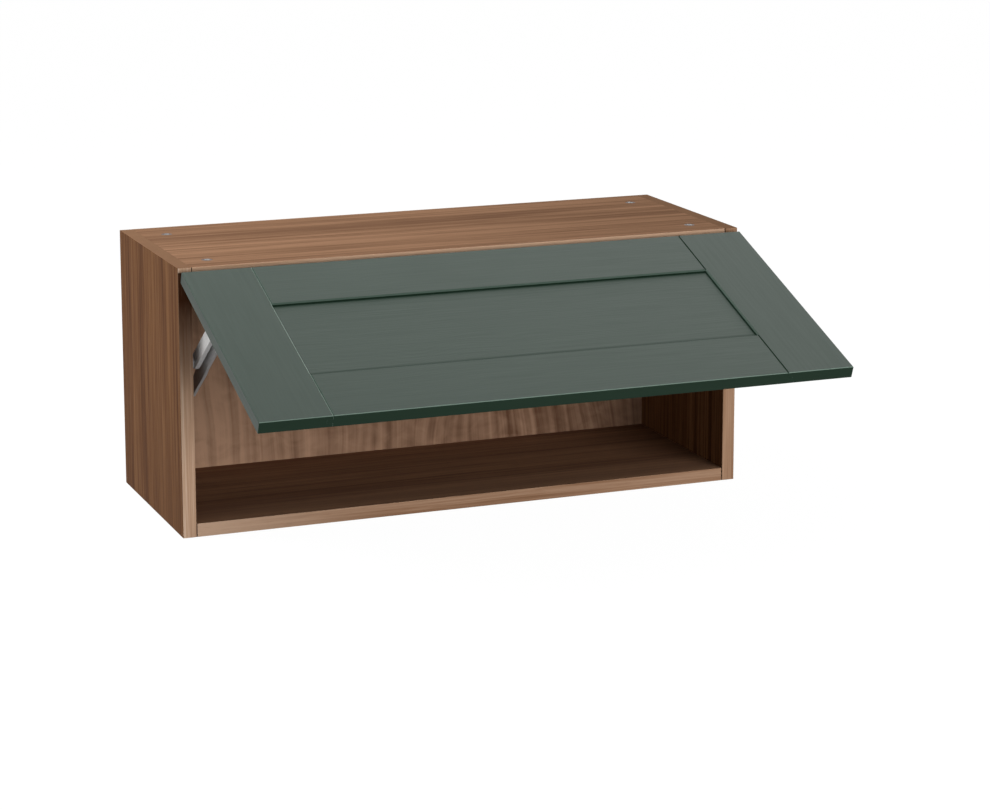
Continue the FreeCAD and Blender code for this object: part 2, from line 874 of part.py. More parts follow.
def make_lift_brackets():
    """Angle brackets on the flap's stiles: a foot on the wood and a lug that holds the arm's end pin."""
    foot_face = DOOR_REAR + size.bracket_thick
    y, z = CRANK_CLOSED
    lug = size.lug_radius
    low, high = z - size.bracket_long / 2, z + size.bracket_long / 2
    for name, side in SIDES.items():
        def draw(sketch):
            outline(sketch, [
                (DOOR_REAR, low), (DOOR_REAR, high), (foot_face, high), (y, z + lug),
                (y + lug, z + lug), (y + lug, z - lug), (y, z - lug), (foot_face, low),
            ])
            circle(sketch, CRANK_CLOSED, size.pin_radius + size.fit_gap)

        profile = plate(across(side, size.lug_near, size.bracket_lug), draw)
        round_corners(profile, [(y + lug, z + lug), (y + lug, z - lug)], lug - size.fit_gap)
        foot = box(across(side, size.lug_near, size.bracket_wide), (DOOR_REAR, foot_face), (low, high))
        node(f"lift_bracket_{name}", on_door(joined([profile.body, foot])))


def groove_sides():
    half = size.tongue_thick / 2 + size.fit_gap
    return DOOR_MIDDLE - half, DOOR_MIDDLE + half


def make_stiles():
    """Full-height stiles, grooved along the inner edge, with a wide bevel beside the panel."""
    front, rear = groove_sides()
    panel_low = DOOR_BOTTOM + size.frame_wide
    panel_high = DOOR_HIGH - size.frame_wide * 2
    for name, side in SIDES.items():
        outer = side * DOOR_HALF
        inner = side * (DOOR_HALF - size.frame_wide)
        deep = inner + side * size.tongue_long
        profile = Profile()
        sketch = profile.sketch("XY_Plane", DOOR_BOTTOM)
        outline(sketch, [
            (outer - side * size.arris, DOOR_FRONT), (outer, DOOR_FRONT + size.arris), (outer, DOOR_REAR),
            (inner, DOOR_REAR), (inner, rear), (deep, rear), (deep, front), (inner, front),
            (inner, DOOR_FRONT + size.joint_bevel), (inner + side * size.joint_bevel, DOOR_FRONT),
        ])
        profile.pad(sketch, DOOR_HIGH)
        break_edges(
            profile,
            lambda middle: near_to(middle.y, DOOR_FRONT)
            and (near_to(middle.z, DOOR_TOP) or near_to(middle.z, DOOR_BOTTOM)),
        )
        bevel = profile.sketch("XY_Plane", panel_low)
        outline(bevel, [
            (inner, DOOR_FRONT), (inner + side * size.panel_bevel, DOOR_FRONT),
            (inner, DOOR_FRONT + size.panel_bevel),
        ])
        profile.pocket(bevel, panel_high)
        node(f"stile_{name}", on_door(profile.body))


def rail(label, edge, turn):
    """A rail between the stiles; turn is -1 where the rail hangs down from its outer edge."""
    front, rear = groove_sides()
    inner = edge + turn * size.frame_wide
    deep = inner - turn * size.tongue_long
    half = DOOR_HALF - size.frame_wide
    profile = Profile()
    sketch = profile.sketch("YZ_Plane", -half)
    outline(sketch, [
        (DOOR_FRONT, edge + turn * size.arris), (DOOR_FRONT + size.arris, edge), (DOOR_REAR, edge),
        (DOOR_REAR, inner), (rear, inner), (rear, deep), (front, deep), (front, inner),
        (DOOR_FRONT + size.panel_bevel, inner), (DOOR_FRONT, inner - turn * size.panel_bevel),
    ])
    profile.pad(sketch, half * 2)
    reach = half + size.tongue_long - size.fit_gap
    tenon = profile.sketch("YZ_Plane", -reach)
    slim = size.tongue_thick / 2
    outline(tenon, [
        (DOOR_MIDDLE - slim, edge), (DOOR_MIDDLE + slim, edge),
        (DOOR_MIDDLE + slim, deep), (DOOR_MIDDLE - slim, deep),
    ])
    profile.pad(tenon, reach * 2)
    break_edges(
        profile,
        lambda middle: near_to(abs(middle.x), half) and near_to(middle.y, DOOR_FRONT),
        size.joint_bevel,
    )
    profile.body.Label = f"{label}_wood"
    return profile.body


def make_rails():
    top = rail("rail_top", DOOR_TOP, -1)
    pockets = [
        rod(x, DOOR_REAR - size.cup_deep, CUP_LINE, size.cup_radius, size.cup_deep, ALONG_Y)
        for x in hinge_spots()
    ]
    node("rail_top", on_door(cut(top, pockets)))
    node("rail_bottom", on_door(rail("rail_bottom", DOOR_BOTTOM, 1)))


def make_centre_panel():
    """The panel floats in the frame's grooves on a tongue that runs round all four edges."""
    half = DOOR_HALF - size.frame_wide
    low = DOOR_BOTTOM + size.frame_wide
    high = DOOR_TOP - size.frame_wide
    profile = Profile()
    field = profile.sketch("XZ_Plane", -(DOOR_REAR - size.panel_rear))
    outline(field, [(-half, low), (half, low), (half, high), (-half, high)])
    profile.pad(field, size.door_thick - size.panel_recess - size.panel_rear)
    long = size.tongue_long - 2 * size.fit_gap
    wide = half + long
    tongue = profile.sketch("XZ_Plane", -(DOOR_MIDDLE + size.tongue_thick / 2))
    outline(tongue, [(-wide, low - long), (wide, low - long), (wide, high + long), (-wide, high + long)])
    profile.pad(tongue, size.tongue_thick)
    node("centre_panel", on_door(profile.body))


def make_bumpers():
    """Soft stops at the flap's lower corners, where it meets the side boards."""
    bumpers = []
    half = size.bumper_wide / 2
    z = DOOR_BOTTOM + size.bumper_rise
    for side in SIDES.values():
        x = side * (HALF - size.bumper_inset)
        depth = (DOOR_REAR, DOOR_REAR + size.bumper_thick)
        bumpers.append(box((x - half, x + half), depth, (z - half, z + half)))
    node("bumpers", on_door(group(bumpers)))


def write_parts():
    """Recompute, look for anything that failed, and write one STEP file for each sub-part."""
    doc.recompute()
    failed = [item.Label for item in doc.Objects if {"Invalid", "Error"} & set(item.State)]
    if failed:
        raise RuntimeError(f"failed features: {failed}")
    for label, item in NODES.items():
        if item.Shape.isNull() or not item.Shape.isValid():
            raise RuntimeError(f"{label} has no valid shape")
    os.makedirs("parts", exist_ok=True)
    for label, item in NODES.items():
        item.Shape.exportStep(f"parts/{label}.step")


make_sides()
make_panels()
make_back()
make_caps()
make_bands()
make_cams()
make_bolts()
make_dowels()
make_hangers()
make_hinge_plates()
make_hinge_arms()
make_hinge_links()
make_hinge_cups()
make_lift_bases()
make_lift_axles()
make_lift_drums()
make_lift_levers()
make_lift_arms()
make_lift_cheeks()
make_lift_pins()
make_lift_brackets()
make_stiles()
make_rails()
make_centre_panel()
make_bumpers()
write_parts()
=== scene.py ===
"""A wall cabinet with a lift-up flap: its finishes, small fittings, stage and camera.

Lengths are metres, and names that end in _MM hold millimetres.  x runs across the cabinet,
y = 0 is the wall, the front faces -y and z = 0 is the underside.
"""

import json
import math
from collections import namedtuple

import bmesh
import bpy
from mathutils import Euler, Matrix, Vector


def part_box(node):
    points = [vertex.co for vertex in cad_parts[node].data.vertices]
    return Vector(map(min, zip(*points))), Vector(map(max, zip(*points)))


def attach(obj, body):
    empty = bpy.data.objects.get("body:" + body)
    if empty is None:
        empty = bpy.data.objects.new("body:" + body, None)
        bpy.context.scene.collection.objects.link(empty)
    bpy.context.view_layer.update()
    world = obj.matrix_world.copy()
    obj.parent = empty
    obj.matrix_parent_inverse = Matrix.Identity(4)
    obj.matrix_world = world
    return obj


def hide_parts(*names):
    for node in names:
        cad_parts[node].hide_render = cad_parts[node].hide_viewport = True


bl_info = {
    "name": "Wall cabinet with a lift-up flap",
    "version": (1, 0, 0),
    "blender": (4, 5, 0),
    "location": "3D View > Sidebar > Cabinet",
    "description": "Finishes and small fittings for a wall cabinet with a lift-up flap",
    "category": "Object",
}

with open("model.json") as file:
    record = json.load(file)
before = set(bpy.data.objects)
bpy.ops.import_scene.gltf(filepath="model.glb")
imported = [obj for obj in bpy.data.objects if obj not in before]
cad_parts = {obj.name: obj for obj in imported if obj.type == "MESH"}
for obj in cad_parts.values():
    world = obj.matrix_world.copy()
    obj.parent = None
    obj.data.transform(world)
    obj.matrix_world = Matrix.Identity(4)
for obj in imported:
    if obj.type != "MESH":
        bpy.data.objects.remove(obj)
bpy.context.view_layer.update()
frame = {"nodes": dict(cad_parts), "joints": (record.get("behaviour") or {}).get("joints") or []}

MM = 0.001
FULL_TURN = 2 * math.pi
WHITE = (1, 1, 1, 1)
SIDES = {"left": -1, "right": 1}
JOINTS = {joint["name"]: joint for joint in frame["joints"]}

# The open flap: its hinge line, its angle from closed, and what carries places on the closed
# flap, taken from the hinge line, to the open one.
PIVOT = Vector(JOINTS["flap_lift"]["pos_m"])
OPENING = math.radians(70)
ON_FLAP = Matrix.Translation(PIVOT) @ Matrix.Rotation(-OPENING, 4, "X")

# The axles that the lift levers turn on.
AXLES = {name: Vector(JOINTS[f"lever_swing_{name}"]["pos_m"]) for name in SIDES}

# The panel's visible field on the closed flap, from the hinge line and from the middle.
PANEL_LOW, PANEL_HIGH, PANEL_HALF = -0.2562, -0.0892, 0.3045

# Numbers of the finishes that the faces take: on a flap part, on a board and on a band.
# On a flap part every finish after the first paints light on the paint: highlights on the low
# edge and the left joint, sheen on the sides and some bevels, shade in grooves and underneath.
PLAIN, PAINTED_HIGHLIGHT, PAINTED_SHADE, PAINTED_SHEEN, PAINTED_JOINT_HIGHLIGHT = range(5)
FILM, END, CORE = range(3)
OUTER = 2

# Least share of a face's normal along an axis for a level face, a square one and a slanting one.
LEVEL, SQUARE, SLANTING = 0.97, 0.7, 0.3

# Angles: edges that are eased, edges that shade as creases, and faces that merge as flat ones.
EASE_ANGLE, CREASE_ANGLE, FLAT_ANGLE = (math.radians(angle) for angle in (30, 25, 1))

# Layers of the wood film, from wide to fine: scale across and along the grain, detail,
# roughness and distortion.
WOOD_DRIFT = (34, 0.9, 3.0, 0.6, 0.2)
WOOD_BANDS = (15, 0.5, 1.0, 0.5, 0.2)
WOOD_STREAKS = (110, 2.2, 5.0, 0.75, 0.1)
WOOD_FIBRES = (420, 6, 3.0, 0.6, 0.0)
WOOD_PORES = (1100, 36, 1.0, 0.5, 0.0)

# Their mixture: the shade that the film starts from, what the bands add, how much the finer
# layers count, and the shades at which the dark, middle and light colours lie.
WOOD_BASE, BAND_STEP = 0.29, 0.28
DRIFT_SHARE, STREAK_SHARE, FIBRE_SHARE = 1.1, 1.7, 1.3
WOOD_STOPS = (0.14, 0.5, 0.86)
BAND_RANGE, PORE_RANGE, PORE_SHARE = (0.34, 0.40), (0.62, 0.72), 0.32
WOOD_ROUGHNESS, WOOD_BUMP, FILM_SHINE = (0.55, 0.65), 0.00006, 0.02
SEED_STEPS = (1.7, 2.3, 3.1)

# Layers of the back panel's figure: scale across and up and the same looks, then their shares.
BACK_RIBBONS = (62, 1.2, 2.0, 0.5, 0.3)
BACK_CURL = (34, 46, 2.0, 0.5, 0.8)
BACK_FIBRES = (360, 9, 3.0, 0.6, 0.0)
RIBBON_SHARE, CURL_SHARE, BACK_FIBRE_SHARE = 0.6, 0.22, 0.18

# The figure bends sideways with a slow drift, and its shade falls from one x to another.
BACK_DRIFT_SCALE, BACK_BEND = (3.2, 3.2, 2.6), 0.1
BACK_LEFT, BACK_RIGHT, BACK_LEFT_SHADE, BACK_RIGHT_SHADE = -0.38, 0.16, 0.45, -0.12
BACK_STOPS, BACK_ROUGHNESS, BACK_BUMP = (0.1, 1.0), (0.5, 0.6), 0.00005

# The grain embossed under the flap's paint: layers as for wood, and a flame of even waves.
PAINT_LINES = (260, 9, 3.0, 0.6, 0.6)
PAINT_FINE = (1100, 60, 2.0, 0.5, 0.0)
PAINT_SLOW = (17, 3.2, 2.0, 0.5, 0.5)
LINE_RANGE, FLAME_SHARE, FINE_SHARE = (0.3, 0.62), 0.25, 0.12
FLAME_WIDTH, FLAME_BEND = 0.0055, 0.09
PAINT_TINT, PAINT_ROUGHNESS, PAINT_IOR = (0.95, 1.04), (0.46, 0.40), 1.28

# Painted shade round the panel, less shine where the frame shades the recess: where it is
# full and gone, how much shine is left in it, and the lip and the stretch of its low side.
PAINTED_SHADE_FULL_MM, PAINTED_SHADE_GONE_MM, PAINTED_SHADE_SHINE = 0.5, 2, 0.5
LOW_LIP_MM, LOW_STRETCH = 4.5, 0.4

# Clouds and skins of the plain finishes.
EDGE_TINT, EDGE_ROUGHNESS = (0.94, 1.04), (0.52, 0.6)
COAT_CLOUD, COAT_TINT, COAT_ROUGHNESS_STEP = 60, (0.93, 1.05), 0.06

# Places of the screws and cam crosses.  Those on the flap are taken from the hinge line.
CAM_X_MM, CAM_Y_MM = (-348, 348), (-255, -55)
CROSS_FLATTEN = 0.35
HANGER_INSET_MM = 5.5
PLATE_HALF_MM, PLATE_INSET_MM = 26, 6.5
HINGE_ARM_DROP_MM, HINGE_ARM_BACK_MM, HINGE_ARM_FRONT_MM = 7, 14, -7
CUP_STEP_MM, CUP_Y_MM, CUP_Z_MM = 22.6, 13.8, -16.2
SIDE_FACE_MM, BASE_THICK_MM = 382, 2
BASE_SCREWS_MM = ((36, 32), (-18, 32), (36, -22))
BRACKET_X_MM, BRACKET_Y_MM, BRACKET_Z_MM = (34, 52), 14.8, (-98.3, -54.3)

# Outlines that are spun: shares of a screw head's radius and height, and a ring's radius in
# millimetres with a share of its rise.
HEAD_LINE = ((0, 0), (1, 0), (1, 0.35), (0.86, 0.75), (0.5, 1), (0, 1))
RING_LINE = ((9, 0), (9, 1), (13, 1), (13.6, 0.4), (20, 0.4), (20.6, 1), (26, 1), (27, 0))
HEAD_STEPS, RING_STEPS = 18, 40
HOUSING_FACE_MM = 368.2

# Stage: the floor, the world's strength on the object and as seen, the lamps and the camera.
FLOOR_RADIUS, FLOOR_SIDES = 60, 96
WORLD_LIGHT, WORLD_SEEN = 0.34, 1.0
FLOOR_GLOW, FLOOR_GLOW_SHARE = 1.04, 0.94
Lamp = namedtuple("Lamp", "name place target wide high power glossy diffuse")
LAMPS = (
    Lamp("front_box", (1.35, -3.5, 0.7), (0, 0, 0.15), 2.4, 1.3, 84, False, True),
    Lamp("low_box", (-0.7, -3.0, -0.1), (-0.3, -0.3, 0.2), 0.6, 0.4, 24, False, True),
    Lamp("top_box", (-0.95, 0.45, 1.6), (0, -0.1, 0.3), 1.4, 1.4, 34, False, True),
    Lamp("sheen_box", (1.5, 1.3, 2.4), (0, -0.45, 0.25), 4.0, 4.0, 74, True, False),
)
CAMERA_PLACE = (-1.34416, -3.79570, 1.05890)
CAMERA_DEGREES = (79.244, 0.0455, -21.593)
CAMERA_LENS, CAMERA_SENSOR, CAMERA_SHIFT, CAMERA_REACH = 103.715, 36, -0.15, 200


def colour(red, green, blue):
    """A colour given in display values from 0 to 255, as the linear values the shaders take."""
    def linear(value):
        value /= 255
        return value / 12.92 if value <= 0.04045 else ((value + 0.055) / 1.055) ** 2.4

    return linear(red), linear(green), linear(blue), 1.0


def mixed(first, second, share):
    """A colour that is a share of the way from the first to the second."""
    return tuple(low + (high - low) * share for low, high in zip(first, second))


def colour_property(name, description, default):
    """A colour that a user may change, with its default in display values."""
    return bpy.props.FloatVectorProperty(
        name=name, description=description, default=colour(*default),
        subtype="COLOR", size=4, min=0, max=1,
    )


def length_property(name, description, default):
    """A length that a user may change, with its default in millimetres."""
    return bpy.props.FloatProperty(
        name=name, description=description, default=default * MM,
        min=0, unit="LENGTH", precision=4,
    )


class CabinetSizes(bpy.types.PropertyGroup):
    """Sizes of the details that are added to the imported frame."""

    board_ease: length_property("Board ease", "Rounding of the boards' edges", 0.35)
    band_ease: length_property("Band ease", "Rounding of the edge bands", 0.45)
    door_ease: length_property("Flap ease", "Rounding of the flap's edges", 0.6)
    metal_ease: length_property("Metal ease", "Rounding of pressed and cast parts", 0.4)
    screw_radius: length_property("Screw head", "Radius of the screw heads", 3.6)
    screw_high: length_property("Screw height", "Height of the screw heads", 1.6)
    recess_long: length_property("Recess length", "Length of a bar of a cross recess", 4.4)
    recess_wide: length_property("Recess width", "Width of a bar of a cross recess", 0.8)
    cover_step: length_property("Cover step", "Height of the ring on each spring housing", 0.9)
    floor_gap: length_property("Floor gap", "Distance from the underside down to the floor", 1)


class CabinetColours(bpy.types.PropertyGroup):
    """Colours of the finishes."""

    board_dark: colour_property("Board dark", "Dark streaks of the boards", (79, 48, 29))
    board_mid: colour_property("Board middle", "Body colour of the boards", (116, 78, 50))
    board_light: colour_property("Board light", "Light streaks of the boards", (147, 106, 71))
    top_dark: colour_property("Top dark", "Dark streaks of the top board", (111, 82, 63))
    top_mid: colour_property("Top middle", "Body colour of the top board", (132, 100, 77))
    top_light: colour_property("Top light", "Light streaks of the top board", (150, 115, 90))
    board_end: colour_property("Board end", "Plain film on the boards' ends", (125, 95, 73))
    # The bottom board's colours are a lighter copy of the boards' film: painted light inside the
    # cabinet.
    lit_shelf_dark: colour_property("Shelf dark", "Dark streaks of the bottom board", (103, 71, 54))
    lit_shelf_light: colour_property("Shelf light", "Light streaks of the bottom board", (153, 115, 86))
    board_core: colour_property("Board core", "Raw board behind the banding", (44, 28, 20))
    band_dark: colour_property("Band dark", "Dark streaks of the edge bands", (134, 100, 76))
    band_mid: colour_property("Band middle", "Body colour of the edge bands", (163, 128, 102))
    band_light: colour_property("Band light", "Light streaks of the edge bands", (186, 152, 126))
    band_pale: colour_property("Band pale", "Light streaks of the palest band", (210, 186, 165))
    # Painted shadow of the open flap on the top of the palest band.
    band_shade: colour_property("Band shade", "Darkened top of the palest band", (78, 46, 28))
    back_dark: colour_property("Back dark", "Dark figure of the back panel", (98, 70, 53))
    back_light: colour_property("Back light", "Light figure of the back panel", (180, 144, 118))
    paint: colour_property("Flap paint", "Paint of the flap", (26, 45, 34))
    # Painted shade: darker, less shiny paint in the flap's grooves and on its low edge underneath.
    paint_dull: colour_property("Flap joints", "Painted shade in grooves and below", (25, 42, 31))
    # Painted highlight: paler paint on the flap's eased low edge, where light catches the arris.
    paint_edge: colour_property("Flap edges", "Painted highlight on the flap's low edge", (106, 124, 114))
    # Painted highlight: paler paint on the left stile's joint bevel, where light catches it.
    paint_joint: colour_property("Flap left joint", "Painted highlight on the left joint", (124, 142, 131))
    # Painted sheen: paler paint on the flap's sides and some bevels, in place of the reflection
    # they miss.
    paint_soft: colour_property("Flap sides", "Painted sheen at the sides", (62, 78, 69))
    arm_white: colour_property("Lift arm", "Paint of the outer lift arms", (248, 248, 247))
    arm_grey: colour_property("Lift cheek", "Paint of inner cheeks and levers", (190, 190, 190))
    zinc: colour_property("Zinc", "Plated steel of hinges, plates and screws", (176, 178, 180))
    cast_zinc: colour_property("Cast zinc", "Cam discs", (92, 80, 76))
    housing: colour_property("Housing", "Spring housings", (112, 112, 112))
    hanger: colour_property("Hanger", "Moulded bodies of the wall hangers", (196, 195, 190))
    cap: colour_property("Cap", "Caps over the hangers' screws", (112, 86, 68))
    dowel: colour_property("Dowel", "Wooden dowels", (196, 166, 124))
    stop: colour_property("Soft stop", "Soft stops on the flap", (170, 172, 172))


class Finish:
    """A node material that is put together step by step."""

    def __init__(self, name):
        self.material = bpy.data.materials.new(name)
        self.material.use_nodes = True
        self.tree = self.material.node_tree
        self.shader = self.tree.nodes["Principled BSDF"]
        self.output = self.tree.nodes["Material Output"]

    def add(self, kind, settings=None, inputs=None):
        """A node; inputs are fixed values, or outputs of other nodes to join on."""
        item = self.tree.nodes.new(kind)
        for name, value in (settings or {}).items():
            setattr(item, name, value)
        for key, value in (inputs or {}).items():
            self.feed(item.inputs[key], value)
        return item

    def feed(self, socket, value):
        """Join an output on to a socket, or give the socket a fixed value."""
        if isinstance(value, bpy.types.NodeSocket):
            self.tree.links.new(value, socket)
        else:
            socket.default_value = value

    def set(self, **values):
        """Feed the shader's own sockets by name."""
        for name, value in values.items():
            self.feed(self.shader.inputs[name.replace("_", " ")], value)

    def coords(self):
        """Where a point lies, in metres."""
        return self.add("ShaderNodeTexCoord").outputs["Object"]

    def mapped(self, vector, **inputs):
        """A vector that is scaled, turned and shifted by a Mapping node."""
        return self.add(
            "ShaderNodeMapping", {"vector_type": "POINT"}, {"Vector": vector, **inputs}
        ).outputs["Vector"]

    def place(self, scale, turn=(0, 0, 0), shift=(0, 0, 0)):
        """Object coordinates, turned to lie along a piece and then stretched."""
        coords = self.coords()
        if any(turn) or any(shift):
            coords = self.mapped(coords, Rotation=turn, Location=shift)
        return self.mapped(coords, Scale=scale)

    def noise(self, vector, detail, roughness=0.5, distortion=0.0):
        """Smooth noise about 0.5 in the vector's own units."""
        return self.add("ShaderNodeTexNoise", {}, {
            "Vector": vector, "Scale": 1.0, "Detail": detail,
            "Roughness": roughness, "Distortion": distortion,
        }).outputs["Fac"]

    def grain(self, axis, layer, turn=(0, 0, 0), shift=(0, 0, 0)):
        """Noise drawn out along an axis; the layer is one of the rows at the top."""
        across, along, *look = layer
        scale = tuple(along if one == axis else across for one in "XYZ")
        return self.noise(self.place(scale, turn, shift), *look)

    def maths(self, operation, first, second=0.0, third=None):
        """One sum on numbers or outputs."""
        inputs = {0: first, 1: second}
        if third is not None:
            inputs[2] = third
        return self.add("ShaderNodeMath", {"operation": operation}, inputs).outputs[0]

    def spread(self, value, low, high, new_low=0.0, new_high=1.0):
        """Carry the range from low to high over to a new one, and hold it there."""
        return self.add("ShaderNodeMapRange", {}, {
            "Value": value, "From Min": low, "From Max": high,
            "To Min": new_low, "To Max": new_high,
        }).outputs["Result"]

    def evened(self, pattern, new_low=0.0, new_high=1.0):
        """Spread a noise pattern, which mostly lies from 0.3 to 0.7, over a new range."""
        return self.spread(pattern, 0.3, 0.7, new_low, new_high)

    def ramp(self, value, stops):
        """A colour that follows a value through its stops."""
        item = self.add("ShaderNodeValToRGB", {}, {"Fac": value})
        marks = item.color_ramp.elements
        for _ in range(len(stops) - 2):
            marks.new(0.5)
        for mark, (position, shade) in zip(marks, stops):
            mark.position, mark.color = position, shade
        return item.outputs["Color"]

    def mix(self, factor, first, second, blend="MIX"):
        """Two colours blended by a factor."""
        item = self.add("ShaderNodeMix", {"data_type": "RGBA", "blend_type": blend})
        self.feed(item.inputs[0], factor)
        self.feed(item.inputs[6], first)
        self.feed(item.inputs[7], second)
        return item.outputs[2]

    def tint(self, shade, pattern, low, high):
        """A base colour that a noise pattern makes a little darker and lighter."""
        tone = self.evened(pattern, low, high)
        grey = self.add("ShaderNodeCombineColor", {}, {0: tone, 1: tone, 2: tone}).outputs[0]
        self.set(Base_Color=self.mix(1.0, shade, grey, "MULTIPLY"))

    def bump(self, height, distance, strength):
        """Shade the surface as if a height pattern stood on it."""
        item = self.add("ShaderNodeBump", {}, {
            "Height": height, "Distance": distance, "Strength": strength,
        })
        self.set(Normal=item.outputs["Normal"])


# A second colour that comes in along an axis: the places where it starts and is full, the most
# of it, the colour itself, and the place where it stops.
Fade = namedtuple("Fade", "axis start full share tone stop")


def walnut(name, grain, shades, seed, contrast=1.0, fade=None, shine=FILM_SHINE):
    """Printed wood film: a few dark bands, fine streaks and short pores along the grain."""
    finish = Finish(name)
    shift = tuple(seed * step for step in SEED_STEPS)
    drift, bands, streaks, fibres, pores = (
        finish.grain(grain, layer, shift=shift)
        for layer in (WOOD_DRIFT, WOOD_BANDS, WOOD_STREAKS, WOOD_FIBRES, WOOD_PORES)
    )
    value = finish.spread(bands, *BAND_RANGE)
    value = finish.maths("MULTIPLY_ADD", value, BAND_STEP * contrast, WOOD_BASE)
    for layer, share in ((drift, DRIFT_SHARE), (streaks, STREAK_SHARE), (fibres, FIBRE_SHARE)):
        part = finish.maths("SUBTRACT", layer, 0.5)
        value = finish.maths("MULTIPLY_ADD", part, share * contrast, value)
    shade = finish.ramp(value, list(zip(WOOD_STOPS, shades)))
    if fade:
        parts = finish.add("ShaderNodeSeparateXYZ", {}, {0: finish.coords()})
        line = parts.outputs[fade.axis]
        amount = finish.spread(line, fade.start, fade.full, 0, fade.share)
        stopping = finish.spread(line, fade.stop, fade.stop + 2 * MM, 1, 0)
        shade = finish.mix(finish.maths("MULTIPLY", amount, stopping), shade, fade.tone)
    pits = finish.spread(pores, *PORE_RANGE)
    shade = finish.mix(finish.maths("MULTIPLY", pits, PORE_SHARE), shade, shades[0])
    finish.set(Base_Color=shade, Specular_IOR_Level=shine)
    finish.set(Roughness=finish.evened(streaks, *WOOD_ROUGHNESS))
    finish.bump(finish.maths("SUBTRACT", fibres, pits), WOOD_BUMP, 0.6)
    return finish.material


def figured(name, shades, seed):
    """Wavy ribbon figure of the back panel, upright with a slow sideways drift."""
    finish = Finish(name)
    shift = (seed, seed * 2, seed * 3)
    drift = finish.noise(finish.place(BACK_DRIFT_SCALE, shift=shift), 2.0)
    parts = finish.add("ShaderNodeSeparateXYZ", {}, {0: finish.coords()})
    bend = finish.maths("MULTIPLY_ADD", drift, BACK_BEND, parts.outputs["X"])
    warped = finish.add("ShaderNodeCombineXYZ", {}, {
        0: bend, 1: parts.outputs["Y"], 2: parts.outputs["Z"],
    }).outputs[0]

    def figure(across, up, *look):
        return finish.noise(finish.mapped(warped, Scale=(across, 1, up), Location=shift), *look)

    ribbons, fibres, curl = (
        figure(*layer) for layer in (BACK_RIBBONS, BACK_FIBRES, BACK_CURL)
    )
    value = finish.spread(
        parts.outputs["X"], BACK_LEFT, BACK_RIGHT, BACK_LEFT_SHADE, BACK_RIGHT_SHADE,
    )
    for layer, share in (
        (ribbons, RIBBON_SHARE), (curl, CURL_SHARE), (fibres, BACK_FIBRE_SHARE),
    ):
        value = finish.maths("MULTIPLY_ADD", finish.evened(layer), share, value)
    shade = finish.ramp(value, list(zip(BACK_STOPS, shades)))
    finish.set(Base_Color=shade, Specular_IOR_Level=FILM_SHINE)
    finish.set(Roughness=finish.evened(ribbons, *BACK_ROUGHNESS))
    finish.bump(fibres, BACK_BUMP, 0.5)
    return finish.material


def plain_edge(name, shade, speckle=40):
    """Plain film, raw board or bare wood with a faint cloudy tone."""
    finish = Finish(name)
    cloud = finish.noise(finish.place((speckle,) * 3), 3.0, 0.6)
    finish.tint(shade, cloud, *EDGE_TINT)
    finish.set(Roughness=finish.evened(cloud, *EDGE_ROUGHNESS), Specular_IOR_Level=0.0)
    return finish.material


def grained_paint(name, grain, shade, depth=0.00001, shine=0.5, painted_frame_shade=False):
    """Satin paint over embossed grain; the pattern lies with the open flap.

    With the flag set, the paint's shine drops where the panel meets its frame: painted shade
    in the recess.
    """
    finish = Finish(name)
    turn = (OPENING, 0, 0)
    lines, fine, slow = (
        finish.grain(grain, layer, turn) for layer in (PAINT_LINES, PAINT_FINE, PAINT_SLOW)
    )
    hinge = Matrix.Rotation(OPENING, 3, "X") @ -PIVOT
    parts = finish.add("ShaderNodeSeparateXYZ", {}, {0: finish.place((1, 1, 1), turn, hinge)})
    across, up = parts.outputs["X"], parts.outputs["Z"]
    flame = finish.maths("MULTIPLY_ADD", slow, FLAME_BEND, up if grain == "X" else across)
    flame = finish.maths("SINE", finish.maths("MULTIPLY", flame, FULL_TURN / FLAME_WIDTH))
    height = finish.spread(lines, *LINE_RANGE)
    height = finish.maths("MULTIPLY_ADD", flame, FLAME_SHARE, height)
    height = finish.maths("MULTIPLY_ADD", fine, FINE_SHARE, height)
    finish.tint(shade, lines, *PAINT_TINT)
    finish.set(Roughness=finish.evened(lines, *PAINT_ROUGHNESS), IOR=PAINT_IOR)
    # Painted shade: less shine near the frame round the panel.
    if painted_frame_shade:
        from_low = finish.maths("SUBTRACT", up, PANEL_LOW + LOW_LIP_MM * MM)
        from_low = finish.maths("MULTIPLY", from_low, LOW_STRETCH)
        from_high = finish.maths("SUBTRACT", PANEL_HIGH, up)
        from_end = finish.maths("SUBTRACT", PANEL_HALF, finish.maths("ABSOLUTE", across))
        near = finish.maths("MINIMUM", finish.maths("MINIMUM", from_low, from_high), from_end)
        shine = finish.spread(
            near, PAINTED_SHADE_FULL_MM * MM, PAINTED_SHADE_GONE_MM * MM, PAINTED_SHADE_SHINE * shine, shine,
        )
    finish.set(Specular_IOR_Level=shine)
    finish.bump(height, depth, 0.6)
    return finish.material


def coated(name, shade, roughness, metallic=0.0, speckle=900.0, depth=0.00003, shine=0.5):
    """Powder coat, zinc or moulded plastic with a fine skin."""
    finish = Finish(name)
    skin = finish.noise(finish.place((speckle,) * 3), 2.0)
    cloud = finish.noise(finish.place((COAT_CLOUD,) * 3), 3.0, 0.6)
    low, high = roughness - COAT_ROUGHNESS_STEP, roughness + COAT_ROUGHNESS_STEP
    finish.tint(shade, cloud, *COAT_TINT)
    finish.set(Roughness=finish.evened(cloud, low, high))
    finish.set(Metallic=metallic, Specular_IOR_Level=shine)
    finish.bump(skin, depth, 0.5)
    return finish.material


def seen_rays(tree):
    """1 for rays that show the background: to the camera, mirrored or through glass."""
    path = tree.nodes.new("ShaderNodeLightPath")
    total = path.outputs["Is Camera Ray"]
    for name in ("Is Glossy Ray", "Is Transmission Ray"):
        either = tree.nodes.new("ShaderNodeMath")
        either.operation = "MAXIMUM"
        tree.links.new(total, either.inputs[0])
        tree.links.new(path.outputs[name], either.inputs[1])
        total = either.outputs[0]
    return total


